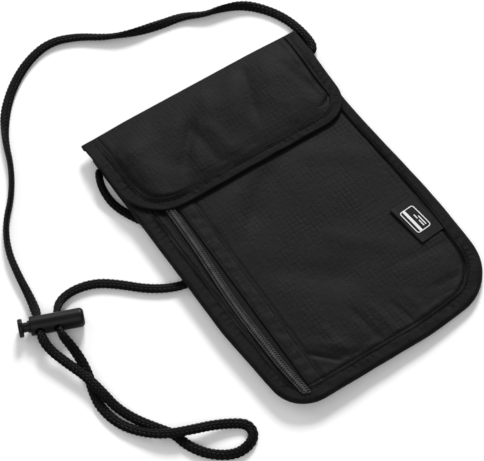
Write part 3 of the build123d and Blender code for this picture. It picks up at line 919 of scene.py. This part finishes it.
def back_panel():
    """The back cloth, with the binding's inner edge pressed into it."""
    line = closed(inset(BODY_LINE, SEAM_IN), BACK_TOP_Y + 0.4)

    def height(x, y):
        edge = edge_distance(x, y)
        uneven = 0.12 * waves(x, y, 60, 7) * smooth_step(10, 25, edge)
        return BACK_PANEL_Z[0] + CLOTH - uneven + 0.25 * ridge_at(edge, 9.3, 0.8)

    front_patch("back_panel_cloth", line, height, "back_panel", 1.0)


# ---------------------------------------------------------------- bindings

def wrapped_tape(name, line, levels, body, hides, seed, width=BINDING_WIDTH, thickness=0.42,
                 round_edge=2.2, seam=BINDING_SEAM, ragged=0.22, slim=None):
    """A tape folded round an edge. levels(x, y) gives the heights of its under and upper face."""
    normals = left_normals(line)
    slim = np.ones(len(line)) if slim is None else slim(line[:, 0], line[:, 1])
    along = lengths_along(line)
    fine = [0, 0.06, 0.2, 0.42, 0.75, 1.15, 1.6, 2.1, 2.8, 3.6, 4.4, 5.2, 5.9]
    rest = np.linspace(width - 2.2, width, 9)
    depth = np.r_[[d for d in fine if d < width - 2.3], rest]
    pull = np.sin(along * 2 * math.pi / 2.8)
    slow = np.sin(along / 7.3 + seed) + 0.6 * np.sin(along / 3.1 + seed * 2.2)
    slow += 0.8 * np.sin(along / 16.7 + seed * 3.1)
    shift = ragged * slow / 2.4

    def skin(depths, side, inner):
        """One face of the tape: ring by ring, a row of points at the given depths."""
        rows = []
        for d in depths:
            spread = shift * (1 if d < width - 1.5 else 1.6)
            reach_in = d * (1 + (slim - 1) * min(1, d / 4))
            flat = line + normals * (reach_in + spread * (0.6 if d < 1 else 1))[:, None]
            under, upper = levels(flat[:, 0], flat[:, 1])
            middle, half = (under + upper) / 2, (upper - under) / 2
            round_part = math.sqrt(max(0, 1 - (1 - min(d / round_edge, 1)) ** 2))
            dip = 0.30 * ridge_at(d, seam, 0.55) * (1 + 0.4 * pull + 0.35 * slow)
            dip = dip - 0.12 * ridge_at(d, width - 0.35, 0.3) * (1 + 0.5 * slow)
            ruck = 0.19 * ridge_at(d, seam - 1.2, 2.0)
            ruck = ruck * np.sin(along * 1.3 + 2.6 * np.sin(along * 0.19 + seed) + d * 0.4)
            ruck = ruck * (0.55 + 0.45 * np.sin(along * 0.113 + seed))
            ruck = ruck + 0.10 * round_part * np.sin(along * 0.31 + d * 0.55 + seed * 2.3)
            high = half * round_part - dip * (0.3 if inner else 1) + ruck
            if inner:
                high = np.maximum(high - thickness, 0.02)
            rows.append(np.c_[flat, middle + side * high])
        return rows

    inner_depth = np.maximum(depth, thickness * 0.8)
    rows = skin(depth[::-1], 1, False) + skin(depth[1:], -1, False)
    rows += skin(inner_depth[1:][::-1], -1, True) + skin(inner_depth, 1, True)
    section = np.stack(rows, 1)
    rings, around = section.shape[:2]
    reach = np.r_[depth[::-1], -depth[1:], -depth[1:][::-1], depth]
    cloth = np.stack([np.broadcast_to(reach, (rings, around)),
                      np.broadcast_to(along[:, None], (rings, around))], -1).reshape(-1, 2)
    faces = [face[::-1] for face in tube_faces(rings, around)]
    return add_mesh(name, placed(section.reshape(-1, 3)), faces, body, BINDING,
                    hides, cloth)


def body_levels(x, y):
    """The under and upper face of the body's binding, which stands proud along the right."""
    lift = 0.12 * waves(x, y, 40, 9) - 0.1 * ridge_at(y, -96, 12)
    lift = lift + 0.22 * smooth_step(50, 62, x) * smooth_step(-95, -80, y)
    return np.zeros_like(x) + 0.02, BODY_TOP + 0.08 + lift


def mouth_binding():
    """Tape folded over the mouth's edge, from one side's binding to the other's."""
    line = np.stack([np.linspace(67.5, -68, 170), np.full(170, MOUTH_Y)], 1)

    def levels(x, y):
        return np.full_like(x, 2.65), np.full_like(x, BODY_TOP - 0.1)

    wrapped_tape("mouth_binding_tape", line, levels, "pouch", ("mouth_binding",), 2.0,
                 width=4.0, thickness=0.35, round_edge=0.9, seam=2.9, ragged=0.05)


# ---------------------------------------------------------------- the flap

FLAP_LINE = flap_edge()
ARC = math.pi * 1.15          # the cloth's length round the fold
OVER_POUCH = 5.35             # the lining's usual height
FOLD_DROP = 2.80              # how much lower it is at the fold
PULL_RISE = 1.85
PULL_X = -52.3                # the flap rises over the pull, which lies along here

# Valleys (and, with a negative depth, ridges) in the flap's cloth: ends, half width and depth
FLAP_CREASES = [
    ((32, 99), (19, 62), 3.6, 0.75), ((43, 95), (32, 64), 5.0, -0.40),
    ((22, 95), (8, 64), 5.5, -0.40), ((12, 66), (5, 44), 4.5, 0.30),
    ((-12, 79), (-33, 54), 3.2, 0.70), ((-15, 76), (-14, 46), 3.0, 0.40),
    ((-22, 64), (-24, 46), 3.6, -0.30), ((-18, 86), (-38, 62), 4.2, -0.35),
    ((-6, 72), (-4, 46), 3.6, -0.35), ((-33, 62), (-37, 47), 3.2, 0.25),
    ((-56, 76), (-38, 48), 7.0, -0.35), ((50, 84), (54, 58), 2.8, 0.25),
    ((40, 60), (33, 44), 3.4, -0.30), ((-30, 96), (-34, 80), 4.5, 0.25),
    ((4, 97), (-3, 76), 3.8, -0.25),
]


def flap_slimness(x, y):
    """The part of its usual width that the flap's binding takes: less right and below."""
    below, at_sides = 0.78, 1.05 - 0.16 * smooth_step(40, 58, x)
    return below + (at_sides - below) * smooth_step(42, 62, y)


def underside(x, y):
    """The flap lining's underside over the pouch, with its folds and the rise over the pull."""
    down = FOLD_Y - y
    height = OVER_POUCH - FOLD_DROP * (1 - np.clip(down / 22, 0, 1)) ** 2
    edge = edge_distance(x, y, FLAP_LINE)
    over_pull = ridge_at(x, PULL_X, np.where(x > PULL_X, 12.0, 8.0))
    sag = 1 - smooth_step(2, 17, edge)
    below_tape = smooth_step(18, 44, down)
    middle = 1 - smooth_step(40, 62, np.abs(x))
    height -= sag * below_tape * (0.50 + 0.28 * middle) * (1 - over_pull * smooth_step(6, 8, edge))
    height += PULL_RISE * over_pull * smooth_step(8, 22, down) * smooth_step(3, 9, edge)
    folds = sum(crease(x, y, *fold) for fold in FLAP_CREASES)
    height += folds * smooth_step(8.5, 13, edge) * smooth_step(1, 11, down) * (1 - over_pull)
    return height


def flap_puff(x, y):
    """How the flap's outer cloth stands off its lining between its seams."""
    edge = edge_distance(x, y, FLAP_LINE) / flap_slimness(x, y)
    calm = smooth_step(8.5, 26, edge) * smooth_step(1, 12, FOLD_Y - y)
    rise = calm * (0.32 + 0.20 * waves(x, y, 58, 6) + 0.08 * waves(x, y, 22, 8))
    rise += crease(x, y, (63, 52), (52, 47), 1.4, 0.45)
    rise += crease(x, y, (62, 49), (54, 44), 1.0, -0.35)
    at_side = 0.30 + 0.70 * smooth_step(50, 60, np.abs(x))
    rise -= 0.36 * at_side * ridge_at(edge, BINDING_DENT, 0.8)
    rise += 0.16 * at_side * ridge_at(edge, 11.6, 1.5) * (1 + 0.8 * waves(x, y, 12, 3))
    return rise


def fold_profile(flat, offset, puff=None):
    """Places on the flap from its flat cloth, a distance out of the lining's underside."""
    x, t = flat[:, 0], flat[:, 1]
    over = np.clip(t - FOLD_Y, 0, ARC)
    angle = over / ARC * math.pi
    full = 0.55 * (1 - smooth_step(38, 66, np.abs(x)))
    radius = 0.65 + offset + full
    y = np.where(t <= FOLD_Y, t, FOLD_Y + radius * np.sin(angle) - np.maximum(0, t - FOLD_Y - ARC))
    rise = 0 if puff is None else puff(x, np.minimum(t, FOLD_Y))
    rise = rise + full * np.exp(-np.maximum(0, FOLD_Y - t) / 3.5)
    on_flap = underside(x, np.minimum(t, FOLD_Y)) + offset + rise
    z = np.where(t <= FOLD_Y, on_flap, FOLD_Z + radius * np.cos(angle))
    return np.stack([x, y, z], 1)


def folded_cloth(name, line, offsets, material, hides, step, puff=None):
    """A layer of the flap that goes round the fold and is sewn to the back."""
    flat, quads, rim = patch_grid(line, step)
    under, upper = (fold_profile(flat, offset, puff) for offset in offsets)
    piece = add_mesh(name, placed(np.r_[upper, under]), two_layers(quads, rim, len(flat)), None,
                     material, hides, np.r_[flat, flat])
    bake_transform(piece)


def flap_layers():
    top = FOLD_Y + ARC + 1.6
    outer = inset(FLAP_LINE, 1.6)
    turned = inset(FLAP_LINE, 0.35)
    side_left = [(outer[0, 0] - 1.2, 97.6), (turned[0, 0], FOLD_Y + 0.5), (turned[0, 0], top)]
    side_right = [(turned[-1, 0], top), (turned[-1, 0], FOLD_Y + 0.5), (outer[-1, 0] + 1.2, 97.6)]
    inner_part = outer[outer[:, 1] < 96.5]
    line = np.r_[side_left[::-1], inner_part, side_right[::-1]]
    folded_cloth("flap_shell_cloth", line, (0.27, 0.75), FLAP_SHELL_SHADED,
                 ("flap_shell",), 0.62, flap_puff)
    folded_cloth("flap_lining_cloth", line, (0.0, 0.22), LINING,
                 ("flap_lining",), 1.3)


def flap_levels(x, y):
    """The under and upper face of the flap's binding."""
    under = underside(x, y)
    lift = 0.10 * waves(x, y, 33, 4)
    return under - 0.45, under + 1.25 + lift


def touch_tapes():
    """The hooked and the looped half of the touch tape, with soft raised faces."""
    for name, z_span, body, node, seed in (
            ("hook_tape_face", (4.62, 5.33), "flap", "hook_tape", 1),
            ("loop_tape_face", (3.68, 4.44), "pouch", "loop_tape", 2)):
        low, high = z_span
        line = rounded([(-2, 45), (13, 45), (13, 63), (-17, 63), (-17, 45), (-2.01, 45)],
                       [1, 1, 1, 1], 0.6)[:-1]

        def height(x, y, high=high, seed=seed):
            fuzz = 0.05 * np.sin(x * 4.1) * np.sin(y * 4.3 + seed) - 0.06
            return high + fuzz

        cloth_patch(name, line, height, high - low, body, TOUCH, (node,), 0.6)


# ---------------------------------------------------------------- label

LABEL_MIDDLE = np.array((57.0, -39.5))
LABEL_TURN = math.radians(5.3)
LABEL_LEFT = 45.8
LABEL_WIDTH = 18.4            # as far as its end under the binding
LABEL_HALF = 13.25            # half its height


def on_label(u, v):
    """Places on the label: u from its left edge, v from its middle, in mm."""
    u, v = np.asarray(u, float), np.asarray(v, float)
    x = u + LABEL_LEFT - LABEL_MIDDLE[0]
    flat = [x * math.cos(LABEL_TURN) - v * math.sin(LABEL_TURN) + LABEL_MIDDLE[0],
            x * math.sin(LABEL_TURN) + v * math.cos(LABEL_TURN) + LABEL_MIDDLE[1]]
    lift = FRONT_TOP + 0.75 + 0.55 * np.exp(-u / 2.5) + 0.12 * np.sin(v / 4.3 + u / 7)
    return np.stack([*flat, lift + 0 * u], -1)


def side_label():
    """A woven label whose right side goes under the binding; its plain printed card sign is drawn as a
    separate piece.
    """
    nu, nv = 40, 54
    us = np.linspace(0, LABEL_WIDTH, nu)
    vs = np.linspace(-LABEL_HALF, LABEL_HALF, nv)
    u, v = np.meshgrid(us, vs, indexing="ij")
    top = on_label(u, v)
    top[..., 2] -= 0.06 * ridge_at(np.abs(v), LABEL_HALF - 0.9, 0.25)
    top[..., 2] -= 0.85 * smooth_step(14.6, 16.6, u)
    under = top - (0, 0, 0.4)
    points = np.r_[top.reshape(-1, 3), under.reshape(-1, 3)]
    number = np.arange(nu * nv).reshape(nu, nv)
    quads = np.stack([number[:-1, :-1], number[1:, :-1], number[1:, 1:], number[:-1, 1:]],
                     -1).reshape(-1, 4)
    rim = np.r_[number[:, 0], number[-1, 1:], number[-2::-1, -1], number[0, -2::-1]]
    faces = two_layers(quads, np.c_[rim[:-1], rim[1:]], nu * nv)
    cloth = np.stack([u, v], -1).reshape(-1, 2)
    add_mesh("side_label_cloth", placed(points), faces, "pouch", LABEL,
             ("side_label",), np.r_[cloth, cloth])


def ribbon(path, half_width, closed_path=False):
    """A thin flat printed line along a path on the label: points and faces."""
    path = np.asarray(path, float)
    way = directions(path)
    if closed_path:
        way = np.roll(path, -1, 0) - np.roll(path, 1, 0)
        way /= np.linalg.norm(way, axis=1)[:, None]
    across = np.stack([-way[:, 1], way[:, 0]], 1) * half_width
    left, right = path + across, path - across
    rows = []
    for edge, lift in ((left, 0.01), (left, 0.07), (right, 0.07), (right, 0.01)):
        spot = on_label(edge[:, 0], edge[:, 1])
        spot[:, 2] += lift
        rows.append(spot)
    section = np.stack(rows, 1)
    count = len(path)
    faces = tube_faces(count, 4, not closed_path)
    if closed_path:
        last = (count - 1) * 4
        faces += [[last + j, last + (j + 1) % 4, (j + 1) % 4, j] for j in range(4)]
    return section.reshape(-1, 3), [face[::-1] for face in faces]


def label_print():
    """A payment card drawn in plain lines: its outline, its stripe and three short bars."""
    along, across = 7.6, 4.4
    middle_u, middle_v = 6.9, 0.4
    corner = rounded([(across * s, along * t) for s, t in
                      ((0, -1), (1, -1), (1, 1), (-1, 1), (-1, -1), (0.001, -1))],
                     [1.2] * 4, 0.4)[:-1]
    shapes = [ribbon(corner + (middle_u, middle_v), 0.24, True)]
    stripe = np.linspace(-along + 0.3, along - 0.3, 30)
    shapes.append(ribbon(np.c_[np.full(30, middle_u - 1.9), stripe + middle_v], 0.8))
    for start, end, offset in ((-5.8, -1.6, 1.2), (-0.4, 2.6, 1.2), (-5.8, 0.6, 2.6)):
        bar = np.linspace(start, end, 10)
        shapes.append(ribbon(np.c_[np.full(10, middle_u + offset), bar + middle_v], 0.3))
    points, faces = [], []
    for some, more in shapes:
        faces += [[index + len(points) for index in face] for face in more]
        points += list(some)
    add_mesh("side_label_print", placed(points), faces, "pouch", PRINT,
             cloth=np.asarray(points)[:, :2], smooth=False)


# ---------------------------------------------------------------- zip

def swept(paths, radius, around, taper):
    """Round tubes along several paths: points, faces and cloth places."""
    points, faces, cloth, total = [], [], [], 0
    for path in paths:
        path = np.asarray(path, float)
        way = directions(path)
        side = np.cross(way, (0.013, 0.021, 1.0))
        side /= np.linalg.norm(side, axis=1)[:, None]
        top = np.cross(side, way)
        size = np.full(len(path), float(radius))
        if taper:
            size[[0, -1]] *= 0.45
        angle = 2 * math.pi * np.arange(around) / around
        ring = np.cos(angle)[:, None] * side[:, None] + np.sin(angle)[:, None] * top[:, None]
        skin = path[:, None] + ring * size[:, None, None]
        along = lengths_along(path)
        points.append(skin.reshape(-1, 3))
        faces += [[index + total for index in face] for face in tube_faces(len(path), around)]
        cloth.append(np.stack(np.broadcast_arrays(angle[None] * radius, along[:, None]),
                              -1).reshape(-1, 2))
        total += len(path) * around
    return np.concatenate(points), faces, np.concatenate(cloth)


def tubes(name, paths, radius, body, material, hides=(), around=8, taper=False):
    """One piece made of round tubes along several paths."""
    points, faces, cloth = swept(paths, radius, around, taper)
    add_mesh(name, placed(points), faces, body, material, hides, cloth)


ZIP_END = 5.0                 # how far inside the pouch's edge the coils end
COIL_PITCH = 1.4
CHAIN = (-95.0, 76.0)         # the chain's lower and upper end


def over_binding(edge):
    """How much the coils rise where their last few turns lie on the binding."""
    return 0.62 * (1 - smooth_step(7.8, 10.5, edge))


def zip_coils():
    """Two nylon coils whose loops mesh along the middle, each with its two rows of sewing."""
    low, high = CHAIN
    for side, name, node in ((-1, "zip_coil_left_wire", "zip_coil_left"),
                             (1, "zip_coil_right_wire", "zip_coil_right")):
        turns = int((high - low) / COIL_PITCH)
        start = low + (0 if side < 0 else COIL_PITCH / 2)
        t = np.arange(turns * 14) / 14
        angle = 2 * math.pi * t
        reach = 0.80 + 1.20 * np.cos(angle) + 0.12 * np.cos(2 * angle)
        y = start + t * COIL_PITCH + 0.22 * np.sin(angle)
        path = np.stack([coil_centre(y) + side * reach, y, 3.93 + 0.42 * np.sin(angle)], 1)
        edge = edge_distance(path[:, 0], path[:, 1])
        path[:, 2] += over_binding(edge)
        tubes(name, [path[edge > ZIP_END]], 0.30, "pouch", COIL, (node,))
        y = np.arange(low, high, 0.35)
        bead = np.sin(2 * math.pi * y / COIL_PITCH)
        seams = []
        for out, sway, height, swell in ((1.45, 0.10, 4.42, 0.10), (2.45, -0.12, 3.62, 0.14)):
            row = np.stack([coil_centre(y) + side * out + sway * bead, y, height + swell * bead], 1)
            edge = edge_distance(row[:, 0], row[:, 1])
            row[:, 2] += over_binding(edge)
            seams.append(row[edge > ZIP_END])
        tubes(name.replace("wire", "sewing"), seams, 0.24, "pouch", ZIP_THREAD)


def zip_tapes():
    for side, node in ((-1, "zip_tape_left"), (1, "zip_tape_right")):
        inner, outer = sorted((side * 0.12 - 0.9, side * 12.4))
        line = strip_between(inner, outer, 80)

        def height(x, y, side=side):
            along = np.abs(x - coil_centre(y))
            return ZIP_TAPE_Z[1] + 0.05 * ridge_at(along, 3.3, 0.4)

        cloth_patch(node + "_cloth", line, height, 0.4, "pouch", ZIP_CLOTH, (node,),
                    0.6)


# ---------------------------------------------------------------- stitches

def stitch_paths(line, height, pitch=2.8, length=2.1, rise=0.14):
    """Short arcs of thread along a flat line, each sunk into the cloth at its ends."""
    spots = evenly(line, pitch / 8)
    paths = []
    for first in range(0, len(spots) - 7, 8):
        part = spots[first:first + int(round(length / pitch * 8)) + 1]
        if len(part) < 4:
            continue
        lift = rise * np.sin(np.linspace(0, math.pi, len(part))) - 0.06
        paths.append(np.c_[part, height(part[:, 0], part[:, 1]) + lift])
    return paths


def sewn(name, rows, body):
    """Rows of stitches as one piece, each stitch thinner at its ends."""
    paths = [path for row in rows for path in row]
    tubes(name, paths, 0.17, body, THREAD, around=6, taper=True)


def body_stitching():
    def on_binding(x, y):
        return body_levels(x, y)[1] - 0.20

    slim = slimness(BODY_LINE[:, 0], BODY_LINE[:, 1])[:, None]
    rows = [stitch_paths(BODY_LINE + left_normals(BODY_LINE) * BINDING_SEAM * slim, on_binding)]
    for offset, height in ((6.1, hem_height), (12.6, hem_height), (-5.2, side_strip_height)):
        line = beside_zip(offset, np.arange(83, -94, -1.0))
        line = line[edge_distance(line[:, 0], line[:, 1]) > 8.6]
        rows.append(stitch_paths(line, height, rise=0.12))
    mouth = np.stack([np.linspace(60, -60, 120), np.full(120, MOUTH_Y - 2.9)], 1)
    rows.append(stitch_paths(mouth, lambda x, y: np.full_like(x, BODY_TOP - 0.33)))
    sewn("body_stitches", rows, "pouch")
    under = stitch_paths(inset(BODY_LINE, BINDING_SEAM), lambda x, y: np.full_like(x, 0.22), rise=-0.12)
    sewn("back_stitches", [under], "pouch")


def flap_stitching():
    def on_binding(x, y):
        return flap_levels(x, y)[1] - 0.20

    wide = flap_slimness(FLAP_LINE[:, 0], FLAP_LINE[:, 1])[:, None]
    rows = (FLAP_LINE + left_normals(FLAP_LINE) * offset * wide for offset in FLAP_SEAMS)
    first, second = (row[row[:, 1] < 95] for row in rows)
    sewn("flap_stitches", [stitch_paths(first, on_binding),
                           stitch_paths(second, lambda x, y: flap_levels(x, y)[1] + 0.02)],
         "flap")


def bartack(x, node):
    """A dense zigzag of thread that holds the cord's end in the side seam."""
    half_width, turns = 2.6, 52
    t = np.arange(turns)
    zig = np.where(t % 2 == 0, -half_width, half_width)
    corner = np.stack([x + zig, 81.6 + t * 0.055, np.full(turns, BODY_TOP + 0.12)], 1)
    path = evenly(corner, 0.45)
    path[:, 2] += 0.12 * np.cos((path[:, 0] - x) / half_width * math.pi / 2)
    tubes(node + "_thread", [path], 0.14, "pouch", THREAD, (node,), around=6)


front_panel()
zip_hem()
side_strip()
inner_layers()
shielding_film()
back_panel()
wrapped_tape("body_binding_tape", BODY_LINE, body_levels, "pouch", ("body_binding",), 1.0,
             slim=slimness)
mouth_binding()
flap_layers()
BOUND = FLAP_LINE[FLAP_LINE[:, 1] < 98.5]
wrapped_tape("flap_binding_tape", BOUND, flap_levels, "flap", ("flap_binding",), 4.0,
             round_edge=0.95, thickness=0.40, seam=FLAP_SEAMS[0], slim=flap_slimness)
touch_tapes()
side_label()
label_print()
zip_tapes()
zip_coils()
body_stitching()
flap_stitching()
bartack(-66, "cord_bartack_left")
bartack(65, "cord_bartack_right")

for node, finish in (("cord_lock_barrel", LOCK), ("cord_lock_plunger", LOCK),
                     ("zip_slider", METAL), ("zip_pull", METAL)):
    frame["nodes"][node].data.materials.clear()
    frame["nodes"][node].data.materials.append(finish)
